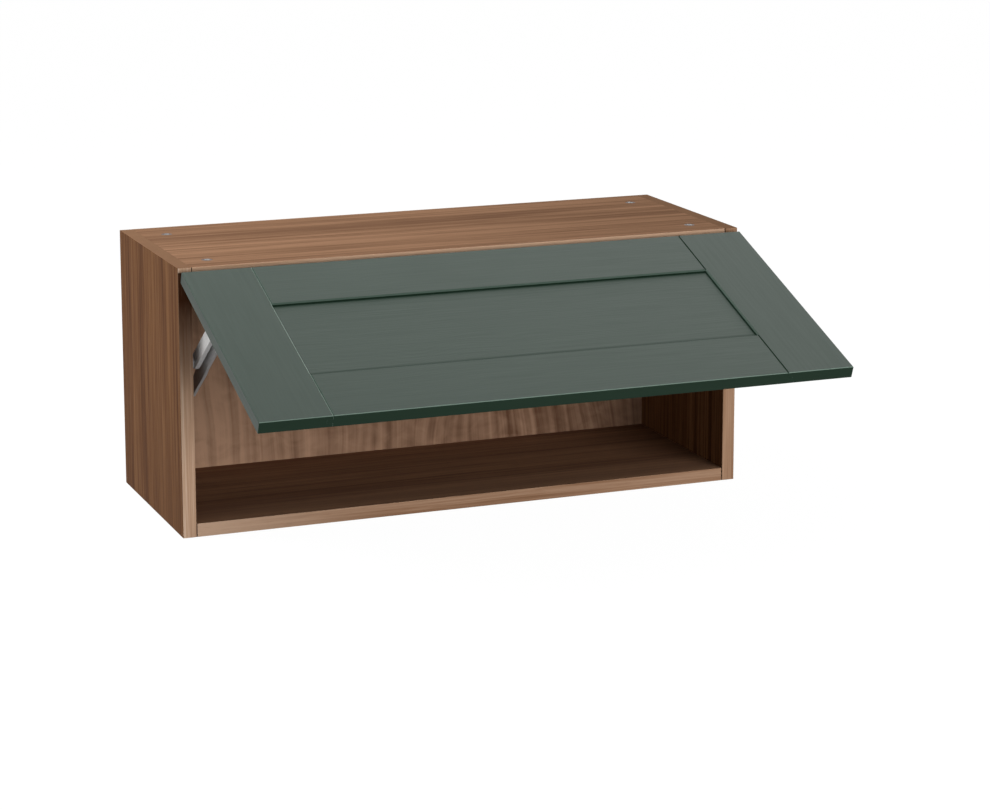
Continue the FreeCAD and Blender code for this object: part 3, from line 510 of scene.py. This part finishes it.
def floor_finish():
    """A pale floor that shows white but still takes a soft shadow."""
    finish = Finish("floor")
    cloud = finish.noise(finish.place((3, 3, 3)), 2.0)
    pale = finish.ramp(cloud, [(0.0, (0.30, 0.30, 0.30, 1)), (1.0, (0.33, 0.33, 0.33, 1))])
    seen = seen_rays(finish.tree)
    finish.set(Base_Color=finish.mix(seen, pale, WHITE), Roughness=0.9, Specular_IOR_Level=0.0)
    glow = finish.add("ShaderNodeEmission", {}, {"Color": WHITE, "Strength": FLOOR_GLOW})
    both = finish.add("ShaderNodeMixShader", {}, {
        0: finish.maths("MULTIPLY", seen, FLOOR_GLOW_SHARE),
        1: finish.shader.outputs[0], 2: glow.outputs[0],
    })
    finish.feed(finish.output.inputs["Surface"], both.outputs[0])
    return finish.material


FINISHES = {}


def make_finishes(context):
    """Every material of the cabinet, kept by a plain name."""
    tones = context.scene.cabinet_colours

    def tone(name):
        return tuple(getattr(tones, name))

    boards, top, bands = (
        [tone(f"{part}_{step}") for step in ("dark", "mid", "light")]
        for part in ("board", "top", "band")
    )
    # Painted shade: the side boards' film is darkened a little, as the sides take less light than
    # the top.
    painted_shade_boards = [mixed(one, boards[0], 0.18) for one in boards]
    low_bands = [mixed(one, boards[1], 0.22) for one in bands]
    # Painted highlight: the top's front band takes only the lighter shades, for the light along the
    # top's front edge.
    painted_highlight_bands = [bands[1], bands[2], bands[2]]
    pale_bands = [bands[1], bands[2], tone("band_pale")]
    # Painted light: the bottom board takes a lighter copy of the film, lighter still towards its
    # front edge, where light comes in under the flap.
    shelf = [tone("lit_shelf_dark"), tone("lit_shelf_light")]
    shelf.insert(1, mixed(*shelf, 0.5))
    painted_front_light = Fade("Y", -0.2, -0.3, 0.5, bands[1], 0)
    # Painted shadow: the open flap's shadow darkens the pale band towards its top and stops at the
    # flap's top edge, above which the band is lit.
    painted_flap_shadow = Fade("Z", 0.195, 0.317, 1.0, tone("band_shade"), 0.353)
    pale_end = Fade("X", -0.12, -0.36, 0.8, mixed(bands[2], tone("band_pale"), 0.3), 0.4)
    paint = tone("paint")
    FINISHES.update({
        "board_upright": walnut("board_upright", "Z", painted_shade_boards, seed=1),
        "board_level": walnut("board_level", "X", top, seed=2, contrast=1.1, shine=0.0),
        "board_shelf": walnut("board_shelf", "X", shelf, seed=7, contrast=0.7, fade=painted_front_light),
        "board_end": plain_edge("board_end", tone("board_end")),
        "board_core": plain_edge("board_core", tone("board_core"), speckle=700),
        "band_pale": walnut("band_pale", "Z", pale_bands, seed=3, contrast=0.8, fade=painted_flap_shadow),
        "band_upright": walnut("band_upright", "Z", bands, seed=6, contrast=0.8),
        "band_level": walnut("band_level", "X", low_bands, seed=4, contrast=0.9, fade=pale_end),
        "band_front": walnut("band_front", "X", painted_highlight_bands, seed=4, contrast=0.8),
        "back": figured("back_figure", (tone("back_dark"), tone("back_light")), seed=5),
        # The flap's paints: plain paint, with painted light on it: shade round the panel, in joints
        # and underneath, highlights on the low edge and the left joint, sheen on the sides.
        "paint_panel": grained_paint("paint_panel", "X", paint, depth=0.00007, painted_frame_shade=True),
        "paint_level": grained_paint("paint_level", "X", paint, depth=0.00005),
        "paint_upright": grained_paint("paint_upright", "Z", paint),
        "paint_edge": grained_paint("paint_edge", "X", tone("paint_edge"), depth=0.00002),
        "paint_soft": grained_paint("paint_soft", "Z", tone("paint_soft")),
        "paint_joint": grained_paint("paint_joint", "Z", tone("paint_joint")),
        "paint_dull": grained_paint(
            "paint_dull", "X", tone("paint_dull"), depth=0.00002, shine=0.25,
        ),
        "white_coat": coated("white_coat", tone("arm_white"), roughness=0.42),
        "grey_coat": coated("grey_coat", tone("arm_grey"), roughness=0.42),
        "zinc": coated("zinc", tone("zinc"), roughness=0.34, metallic=1.0, speckle=1400),
        "cast_zinc": coated(
            "cast_zinc", tone("cast_zinc"), roughness=0.6, speckle=500, depth=0.00006, shine=0.1,
        ),
        "housing": coated("housing", tone("housing"), roughness=0.5),
        "hanger_plastic": coated("hanger_plastic", tone("hanger"), roughness=0.5),
        "cap_plastic": coated("cap_plastic", tone("cap"), roughness=0.5),
        "beech": plain_edge("beech", tone("dowel")),
        "clear_stop": coated("clear_stop", tone("stop"), roughness=0.3),
    })


def meshed(name, bm):
    """Turn a bmesh into a plain object of the scene."""
    mesh = bpy.data.meshes.new(name)
    bm.to_mesh(mesh)
    bm.free()
    item = bpy.data.objects.new(name, mesh)
    bpy.context.scene.collection.objects.link(item)
    return item


def finished(name, bm, body, slot, *finishes, replaces=()):
    """Turn a bmesh into a piece that rides on a body and stands for CAD nodes."""
    piece = meshed(name, bm)
    piece.data.shade_smooth()
    piece.data.set_sharp_from_angle(angle=CREASE_ANGLE)
    for finish in finishes:
        piece.data.materials.append(FINISHES[finish])
    shading = piece.modifiers.new("even_shading", "WEIGHTED_NORMAL")
    shading.mode, shading.weight, shading.keep_sharp = "FACE_AREA", 100, True
    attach(piece, body)
    if replaces:
        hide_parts(*replaces)
    return piece


def welded(node):
    """A CAD node's shape with its triangles merged into whole faces."""
    bm = bmesh.new()
    bm.from_mesh(frame["nodes"][node].data)
    bmesh.ops.remove_doubles(bm, verts=bm.verts, dist=1e-6)
    bmesh.ops.dissolve_limit(bm, angle_limit=FLAT_ANGLE, verts=bm.verts, edges=bm.edges)
    return bm


def ease(bm, width):
    """Round the sharp edges of a shape."""
    edges = [
        edge for edge in bm.edges if edge.is_manifold and edge.calc_face_angle() > EASE_ANGLE
    ]
    bmesh.ops.bevel(
        bm, geom=edges, offset=width, offset_type="OFFSET", segments=2, profile=0.5,
        affect="EDGES", material=-1, clamp_overlap=True,
    )


def eased(name, node, body, slot, finishes, width, sort=None):
    """A CAD node with its edges rounded; sort gives each face the number of its finish."""
    bm = welded(node)
    ease(bm, width)
    if sort:
        for face in bm.faces:
            face.material_index = sort(face)
    return finished(name, bm, body, slot, *finishes, replaces=(node,))


def upright_board_face(face):
    """Film on the wide faces, plain film on the ends and raw board behind the band."""
    if abs(face.normal.z) > SQUARE:
        return END
    return CORE if face.normal.y < -SQUARE else FILM


def level_board_face(face):
    """The same for a board that lies level."""
    if abs(face.normal.x) > SQUARE:
        return END
    return CORE if face.normal.y < -SQUARE else FILM


def band_face(face):
    """The cut ends of an upright band, and its outer edge beside the board's film."""
    if abs(face.normal.z) > SQUARE:
        return END
    return OUTER if face.normal.x < -SLANTING else FILM


def flap_face(edges, joint_x):
    """Sort a flap part's faces: level with the door, painted highlights and sheen on eased edges,
    painted shade in joints and underneath.

    edges pairs the ways that eased faces may look, as seen on the closed flap, with the numbers
    of their finishes.  Past joint_x the lower corner shows a painted highlight as a tick across
    the edge, and beside the panel a joint in painted shade takes painted sheen instead.
    """
    back = Matrix.Rotation(OPENING, 3, "X")

    def sort(face):
        way, centre = back @ face.normal, face.calc_center_median()
        # The flap's face underneath takes painted shade.
        if way.z < -LEVEL:
            return PAINTED_SHADE
        if max(abs(part) for part in way) > LEVEL:
            return PLAIN
        # Faces at a part's lower right corner take painted highlight, as a tick across the edge.
        if way.z < -SLANTING and way.x > SLANTING and centre.x > joint_x:
            return PAINTED_JOINT_HIGHLIGHT
        closed = back @ (centre - PIVOT)
        beside_panel = PANEL_LOW < closed.z < PANEL_HIGH
        for direction, number in edges:
            visible = closed.y < 0 or number in (PAINTED_SHADE, PAINTED_SHEEN)
            if way.dot(Vector(direction)) > SLANTING and visible:
                return PAINTED_SHEEN if number == PAINTED_SHADE and beside_panel else number
        return PLAIN

    return sort


def paint_node(node, finish):
    """Give a CAD node that stays as it is its finish."""
    mesh = frame["nodes"][node].data
    mesh.materials.clear()
    mesh.materials.append(FINISHES[finish])


def spun(points, axis, steps, closed=False):
    """A line of points, or a closed outline, spun a full turn about an axis."""
    bm = bmesh.new()
    verts = [bm.verts.new(point) for point in points]
    nexts = verts[1:] + verts[:1] if closed else verts[1:]
    edges = [bm.edges.new(pair) for pair in zip(verts, nexts)]
    bmesh.ops.spin(
        bm, geom=verts + edges, cent=(0, 0, 0), axis=axis, angle=FULL_TURN, steps=steps,
        use_merge=True,
    )
    return bm


def screw_head(sizes):
    """A rounded head on the z axis, with a cross recess cut into its top."""
    radius, high = sizes.screw_radius, sizes.screw_high
    bm = spun([(x * radius, 0, z * high) for x, z in HEAD_LINE], (0, 0, 1), HEAD_STEPS)
    bmesh.ops.remove_doubles(bm, verts=bm.verts, dist=1e-7)
    bmesh.ops.recalc_face_normals(bm, faces=bm.faces)
    head = meshed("head", bm)
    bar = (sizes.recess_long, sizes.recess_wide)
    for number, (long, wide) in enumerate((bar, bar[::-1])):
        bm = bmesh.new()
        bmesh.ops.create_cube(bm, size=1)
        bmesh.ops.scale(bm, verts=bm.verts, vec=(long, wide, high))
        bmesh.ops.translate(bm, verts=bm.verts, vec=(0, 0, high))
        cross = head.modifiers.new(f"recess_{number}", "BOOLEAN")
        cross.operation, cross.solver = "DIFFERENCE", "EXACT"
        cross.object = meshed(f"bar_{number}", bm)
    depsgraph = bpy.context.evaluated_depsgraph_get()
    solid = bpy.data.meshes.new_from_object(head.evaluated_get(depsgraph))
    for item in [head] + [cross.object for cross in head.modifiers]:
        bpy.data.objects.remove(item)
    return solid


def screws(context, name, body, slot, finish, places):
    """Copies of one screw head; each place is a matrix that carries the head from the origin."""
    head = screw_head(context.scene.cabinet_sizes)
    bm = bmesh.new()
    for place in places:
        count = len(bm.verts)
        bm.from_mesh(head)
        bm.verts.ensure_lookup_table()
        bmesh.ops.transform(bm, matrix=place, verts=bm.verts[count:])
    bpy.data.meshes.remove(head)
    return finished(name, bm, body, slot, finish)


def facing(x, y, z, towards):
    """A place for a screw head that stands on a surface and faces along an axis."""
    turn = Vector((0, 0, 1)).rotation_difference(Vector(towards)).to_matrix().to_4x4()
    return Matrix.Translation((x, y, z)) @ turn


def build_carcass(context):
    """The sides, the top, the bottom and the back panel."""
    width = context.scene.cabinet_sizes.board_ease
    for name, node, finish, sort in (
        ("side_board_left", "side_left", "board_upright", upright_board_face),
        ("side_board_right", "side_right", "board_upright", upright_board_face),
        ("top_board", "top_panel", "board_level", level_board_face),
        ("bottom_board", "bottom_panel", "board_shelf", level_board_face),
    ):
        finishes = (finish, "board_end", "board_core")
        eased(name, node, "cabinet", "carcass_board", finishes, width, sort)
    eased("back_board", "back_panel", "cabinet", "back_board", ("back",), width)


def build_bands(context):
    """The edge bands: two upright ones and two level ones."""
    width = context.scene.cabinet_sizes.band_ease
    for name, finishes, sort in (
        ("left", ("band_pale", "board_end", "band_upright"), band_face),
        ("right", ("band_upright", "board_end", "band_upright"), band_face),
        ("top", ("band_front",), None),
        ("bottom", ("band_level",), None),
    ):
        node = f"edge_band_{name}"
        eased(f"band_{name}", node, "cabinet", "edge_band", finishes, width, sort)


def build_flap(context):
    """The flap's stiles, rails and panel."""
    width = context.scene.cabinet_sizes.door_ease
    left, right, down, up = (-1, 0, 0), (1, 0, 0), (0, 0, -1), (0, 0, 1)
    # For each part, the eased edges that take painted highlight, sheen or shade.
    for name, node, finish, edges in (
        ("stile_left", "stile_left", "paint_upright", ((right, PAINTED_JOINT_HIGHLIGHT), (down, PAINTED_HIGHLIGHT), (left, PAINTED_SHEEN))),
        ("stile_right", "stile_right", "paint_upright", ((down, PAINTED_HIGHLIGHT), (left, PAINTED_SHADE))),
        ("rail_top", "rail_top", "paint_level", ((down, PAINTED_SHEEN), (left, PAINTED_SHEEN), (right, PAINTED_SHADE))),
        (
            "rail_bottom", "rail_bottom", "paint_level",
            ((down, PAINTED_HIGHLIGHT), (left, PAINTED_SHEEN), (right, PAINTED_SHADE), (up, PAINTED_SHADE)),
        ),
        ("panel", "centre_panel", "paint_panel", ()),
    ):
        finishes = (finish, "paint_edge", "paint_dull", "paint_soft", "paint_joint")
        sort = flap_face(edges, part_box(node)[1][0] - 2 * width)
        eased(f"flap_{name}", node, "flap", "door_paint", finishes, width, sort)


def build_joints(context):
    """Cam discs, and the bolts and dowels that stay as they are."""
    width = context.scene.cabinet_sizes.metal_ease
    for name in ("top", "bottom"):
        node = f"cam_locks_{name}"
        eased(f"cams_{name}", node, "cabinet", "cam_zinc", ("cast_zinc",), width / 2)
    low_face, high_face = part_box("cam_locks_bottom")[0][2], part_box("cam_locks_top")[1][2]
    flat = Matrix.Scale(CROSS_FLATTEN, 4, (0, 0, 1))
    screws(context, "cam_crosses", "cabinet", "cam_zinc", "housing", [
        facing(x * MM, y * MM, face, (0, 0, way)) @ flat
        for x in CAM_X_MM for y in CAM_Y_MM for face, way in ((low_face, -1), (high_face, 1))
    ])
    for node, finish in (("cam_bolts", "zinc"), ("dowels", "beech")):
        paint_node(node, finish)


def build_hangers(context):
    """The wall hangers, their hooks and screws, and the caps over them."""
    width = context.scene.cabinet_sizes.metal_ease
    inset = HANGER_INSET_MM * MM
    for name in SIDES:
        body, hook = f"hanger_body_{name}", f"hanger_hook_{name}"
        eased(f"hanger_{name}", body, "cabinet", "hanger_plastic", ("hanger_plastic",), width)
        eased(f"hook_{name}", hook, hook, "zinc_steel", ("zinc",), width / 2)
        low, high = (Vector(corner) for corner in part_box(body))
        screws(context, f"hanger_screws_{name}", "cabinet", "zinc_steel", "zinc", [
            facing(x, high.y, z, (0, 1, 0))
            for x in (low.x + inset, high.x - inset)
            for z in (low.z + inset * 2, high.z - inset * 2)
        ])
    eased("caps", "hanger_caps", "cabinet", "cap_plastic", ("cap_plastic",), width)


def build_hinges(context):
    """The concealed hinges: plates, arms, folding links, cups and their screws."""
    width = context.scene.cabinet_sizes.metal_ease
    eased("plates", "hinge_plates", "cabinet", "zinc_steel", ("zinc",), width)
    eased("hinge_bodies", "hinge_arms", "cabinet", "zinc_steel", ("zinc",), width)
    eased("folding_links", "hinge_links", "hinge_links", "zinc_steel", ("zinc",), width / 2)
    eased("cups", "hinge_cups", "flap", "zinc_steel", ("zinc",), width / 2)
    low, high = (Vector(corner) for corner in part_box("hinge_plates"))
    line = (low.y + high.y) / 2
    half, inset = PLATE_HALF_MM * MM, PLATE_INSET_MM * MM
    spots = (low.x + half, high.x - half)
    screws(context, "plate_screws", "cabinet", "zinc_steel", "zinc", [
        facing(x + step, line, low.z, (0, 0, -1))
        for x in spots for step in (inset - half, half - inset)
    ])
    arm_under = low.z - HINGE_ARM_DROP_MM * MM
    screws(context, "arm_screws", "cabinet", "zinc_steel", "zinc", [
        facing(x, line + step * MM, arm_under, (0, 0, -1))
        for x in spots for step in (HINGE_ARM_FRONT_MM, HINGE_ARM_BACK_MM)
    ])
    screws(context, "cup_screws", "flap", "zinc_steel", "zinc", [
        ON_FLAP @ facing(x + step * MM, CUP_Y_MM * MM, CUP_Z_MM * MM, (0, 1, 0))
        for x in spots for step in (-CUP_STEP_MM, CUP_STEP_MM)
    ])


def build_lift(context):
    """The lift mechanism on both sides, its screws, and the flap's soft stops."""
    sizes = context.scene.cabinet_sizes
    width = sizes.metal_ease
    for name, side in SIDES.items():
        swing, lever = f"lift_arm_{name}", f"lift_lever_{name}"
        for piece, body, slot, finish, rounding in (
            ("base", "cabinet", "zinc_steel", "zinc", width / 2),
            ("axle", "cabinet", "zinc_steel", "zinc", width),
            ("drum", "cabinet", "drum_plastic", "housing", width * 2),
            ("lever", lever, "grey_paint", "grey_coat", width),
            ("arm", swing, "white_paint", "white_coat", width * 2),
            ("cheek", swing, "grey_paint", "grey_coat", width),
            ("pins", swing, "zinc_steel", "zinc", width),
            ("bracket", "flap", "zinc_steel", "zinc", width),
        ):
            eased(f"{piece}_{name}", f"lift_{piece}_{name}", body, slot, (finish,), rounding)
        wall, axle = side * SIDE_FACE_MM * MM, AXLES[name]
        base_face = wall - side * BASE_THICK_MM * MM
        screws(context, f"base_screws_{name}", "cabinet", "zinc_steel", "zinc", [
            facing(base_face, axle.y + y * MM, axle.z + z * MM, (-side, 0, 0))
            for y, z in BASE_SCREWS_MM
        ])
        screws(context, f"bracket_screws_{name}", "flap", "zinc_steel", "zinc", [
            ON_FLAP @ facing(wall - side * x * MM, BRACKET_Y_MM * MM, z * MM, (0, 1, 0))
            for x in BRACKET_X_MM for z in BRACKET_Z_MM
        ])
        housing_ring(sizes, name, side, axle)
    eased("stops", "bumpers", "flap", "soft_stop", ("clear_stop",), width)


def housing_ring(sizes, name, side, axle):
    """A low stepped ring on the open face of a spring housing."""
    near, rise = HOUSING_FACE_MM * MM, sizes.cover_step
    line = [(side * (near - high * rise), 0, radius * MM) for radius, high in RING_LINE]
    bm = spun(line, (1, 0, 0), RING_STEPS, closed=True)
    bmesh.ops.translate(bm, verts=bm.verts, vec=(0, axle.y, axle.z))
    bmesh.ops.recalc_face_normals(bm, faces=bm.faces)
    finished(f"housing_ring_{name}", bm, "cabinet", "drum_plastic", "housing")


def build_floor(context):
    """A wide round floor just under the cabinet."""
    bm = bmesh.new()
    bmesh.ops.create_circle(bm, cap_ends=True, segments=FLOOR_SIDES, radius=FLOOR_RADIUS)
    drop = context.scene.cabinet_sizes.floor_gap
    bmesh.ops.translate(bm, verts=bm.verts, vec=(0, 0, -drop))
    floor = meshed("floor", bm)
    floor.data.materials.append(floor_finish())


def build_world(context):
    """A white world that lights the object softly and shows white."""
    world = bpy.data.worlds.new("studio")
    context.scene.world = world
    world.use_nodes = True
    tree = world.node_tree
    background = tree.nodes["Background"]
    background.inputs["Color"].default_value = WHITE
    level = tree.nodes.new("ShaderNodeMapRange")
    level.inputs["To Min"].default_value = WORLD_LIGHT
    level.inputs["To Max"].default_value = WORLD_SEEN
    tree.links.new(seen_rays(tree), level.inputs["Value"])
    tree.links.new(level.outputs["Result"], background.inputs["Strength"])


def build_lamp(context, lamp):
    """A soft rectangular lamp that looks at its target."""
    light = bpy.data.lights.new(lamp.name, "AREA")
    light.shape = "RECTANGLE"
    light.size, light.size_y = lamp.wide, lamp.high
    light.energy = lamp.power
    holder = bpy.data.objects.new(lamp.name, light)
    holder.location = lamp.place
    way = Vector(lamp.target) - Vector(lamp.place)
    holder.rotation_euler = way.to_track_quat("-Z", "Y").to_euler()
    holder.visible_glossy, holder.visible_diffuse = lamp.glossy, lamp.diffuse
    context.scene.collection.objects.link(holder)


def build_camera(context):
    """The camera, and the plain view of colours."""
    camera = bpy.data.cameras.new("camera")
    camera.lens = CAMERA_LENS
    camera.sensor_width = CAMERA_SENSOR
    camera.shift_y = CAMERA_SHIFT
    camera.clip_end = CAMERA_REACH
    holder = bpy.data.objects.new("camera", camera)
    holder.location = CAMERA_PLACE
    holder.rotation_euler = Euler([math.radians(angle) for angle in CAMERA_DEGREES])
    context.scene.collection.objects.link(holder)
    context.scene.camera = holder
    context.scene.view_settings.view_transform = "Standard"


def build_stage(context):
    """Pale floor, white world, soft lamps and the camera."""
    build_floor(context)
    build_world(context)
    for lamp in LAMPS:
        build_lamp(context, lamp)
    build_camera(context)


class CABINET_OT_finishes(bpy.types.Operator):
    """Make every material of the cabinet"""

    bl_idname = "cabinet.finishes"
    bl_label = "Finishes"

    def execute(self, context):
        make_finishes(context)
        return {"FINISHED"}


class CABINET_OT_carcass(bpy.types.Operator):
    """Make the boards and the back panel"""

    bl_idname = "cabinet.carcass"
    bl_label = "Boards"

    def execute(self, context):
        build_carcass(context)
        return {"FINISHED"}


class CABINET_OT_bands(bpy.types.Operator):
    """Make the four edge bands"""

    bl_idname = "cabinet.bands"
    bl_label = "Edge bands"

    def execute(self, context):
        build_bands(context)
        return {"FINISHED"}


class CABINET_OT_joints(bpy.types.Operator):
    """Make the cam discs and give bolts and dowels their finish"""

    bl_idname = "cabinet.joints"
    bl_label = "Joints"

    def execute(self, context):
        build_joints(context)
        return {"FINISHED"}


class CABINET_OT_hangers(bpy.types.Operator):
    """Make the wall hangers, their hooks and their caps"""

    bl_idname = "cabinet.hangers"
    bl_label = "Hangers"

    def execute(self, context):
        build_hangers(context)
        return {"FINISHED"}


class CABINET_OT_hinges(bpy.types.Operator):
    """Make the concealed hinges and their screws"""

    bl_idname = "cabinet.hinges"
    bl_label = "Hinges"

    def execute(self, context):
        build_hinges(context)
        return {"FINISHED"}


class CABINET_OT_lift(bpy.types.Operator):
    """Make the lift mechanism and its screws"""

    bl_idname = "cabinet.lift"
    bl_label = "Lift"

    def execute(self, context):
        build_lift(context)
        return {"FINISHED"}


class CABINET_OT_flap(bpy.types.Operator):
    """Make the framed flap"""

    bl_idname = "cabinet.flap"
    bl_label = "Flap"

    def execute(self, context):
        build_flap(context)
        return {"FINISHED"}


class CABINET_OT_stage(bpy.types.Operator):
    """Make the floor, lamps and camera"""

    bl_idname = "cabinet.stage"
    bl_label = "Stage"

    def execute(self, context):
        build_stage(context)
        return {"FINISHED"}


OPERATORS = (
    CABINET_OT_finishes, CABINET_OT_carcass, CABINET_OT_bands, CABINET_OT_joints,
    CABINET_OT_hangers, CABINET_OT_hinges, CABINET_OT_lift, CABINET_OT_flap, CABINET_OT_stage,
)


class CABINET_PT_panel(bpy.types.Panel):
    """Lists the steps that make the cabinet."""

    bl_label = "Cabinet"
    bl_idname = "CABINET_PT_panel"
    bl_space_type = "VIEW_3D"
    bl_region_type = "UI"
    bl_category = "Cabinet"

    def draw(self, context):
        for maker in OPERATORS:
            self.layout.operator(maker.bl_idname)


CLASSES = (CabinetSizes, CabinetColours, *OPERATORS, CABINET_PT_panel)


def register():
    for item in CLASSES:
        bpy.utils.register_class(item)
    bpy.types.Scene.cabinet_sizes = bpy.props.PointerProperty(type=CabinetSizes)
    bpy.types.Scene.cabinet_colours = bpy.props.PointerProperty(type=CabinetColours)


def unregister():
    del bpy.types.Scene.cabinet_colours
    del bpy.types.Scene.cabinet_sizes
    for item in reversed(CLASSES):
        bpy.utils.unregister_class(item)


def main():
    register()
    bpy.ops.cabinet.finishes()
    bpy.ops.cabinet.carcass()
    bpy.ops.cabinet.bands()
    bpy.ops.cabinet.joints()
    bpy.ops.cabinet.hangers()
    bpy.ops.cabinet.hinges()
    bpy.ops.cabinet.lift()
    bpy.ops.cabinet.flap()
    bpy.ops.cabinet.stage()


if __name__ == "__main__":
    main()
